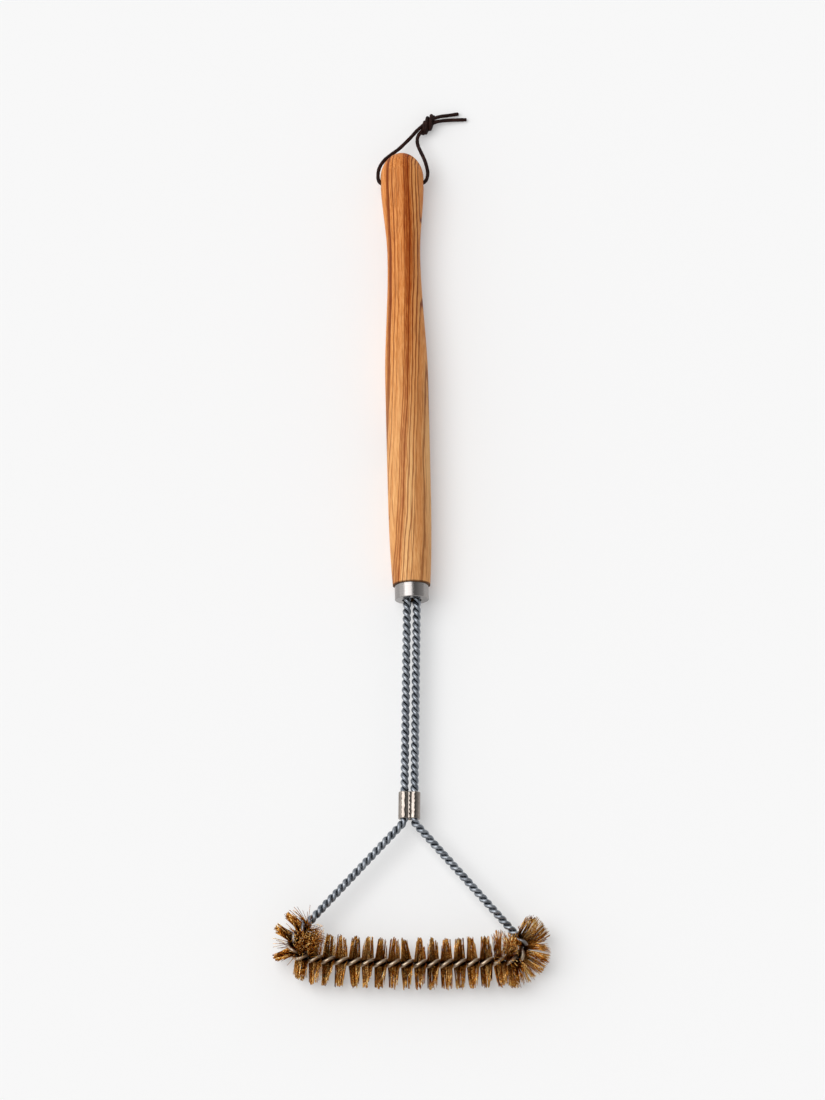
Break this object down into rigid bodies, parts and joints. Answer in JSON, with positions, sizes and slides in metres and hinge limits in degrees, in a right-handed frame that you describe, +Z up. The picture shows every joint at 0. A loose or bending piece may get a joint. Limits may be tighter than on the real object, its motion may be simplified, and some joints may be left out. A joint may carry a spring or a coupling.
{
  "type": "grill cleaning brush",
  "caption": "Long-handled grill cleaning brush: twisted wire stems bent into a triangle, brass bristles along its crossbar, a turned wooden handle and a leather hanging loop.",
  "frame": {"origin": "middle of the brush's length and width, without the lace, on the surface that the brush lies on", "axes": "+X along the bristle bar, +Y from the bristles towards the handle's tail, +Z up, square to the wire triangle"},
  "size_m": [0.1646, 0.5479, 0.0275],
  "materials": {
    "olive_wood": "turned and oiled, satin, with dark streaks along the grain",
    "satin_steel": "satin, turned",
    "bond_resin": "cast, dark and dull",
    "galvanised_wire": "drawn and galvanised, blue-grey",
    "nickel_sleeve": "bright nickel plate",
    "brass_bristle": "drawn brass filament, slightly dull",
    "leather_lace": "dark, lightly waxed"
  },
  "bodies": {
    "brush": {"handle": "olive_wood", "ferrule": "satin_steel", "resin_plug": "bond_resin", "wire_a": "galvanised_wire", "wire_b": "galvanised_wire", "sleeve": "nickel_sleeve", "bristle_tuft_01": "brass_bristle", "bristle_tuft_02": "brass_bristle", "bristle_tuft_03": "brass_bristle", "bristle_tuft_04": "brass_bristle", "bristle_tuft_05": "brass_bristle", "bristle_tuft_06": "brass_bristle", "bristle_tuft_07": "brass_bristle", "bristle_tuft_08": "brass_bristle", "bristle_tuft_09": "brass_bristle", "bristle_tuft_10": "brass_bristle", "bristle_tuft_11": "brass_bristle", "bristle_tuft_12": "brass_bristle", "bristle_tuft_13": "brass_bristle", "bristle_tuft_14": "brass_bristle", "bristle_tuft_15": "brass_bristle", "bristle_tuft_16": "brass_bristle", "bristle_tuft_17": "brass_bristle", "bristle_tuft_18": "brass_bristle", "bristle_tuft_19": "brass_bristle", "bristle_tuft_20": "brass_bristle", "bristle_tuft_21": "brass_bristle", "bristle_tuft_22": "brass_bristle"},
    "hanging_loop": {"lace": "leather_lace", "lace_knot": "leather_lace"}
  },
  "joints": [
    {"name": "loop_swing", "type": "hinge", "parent": "brush", "child": "hanging_loop", "pos_m": [-0.00907, 0.24009, 0.0131], "axis": [0.9994, 0.0349, 0], "range_deg": [0, 145]}
  ]
}
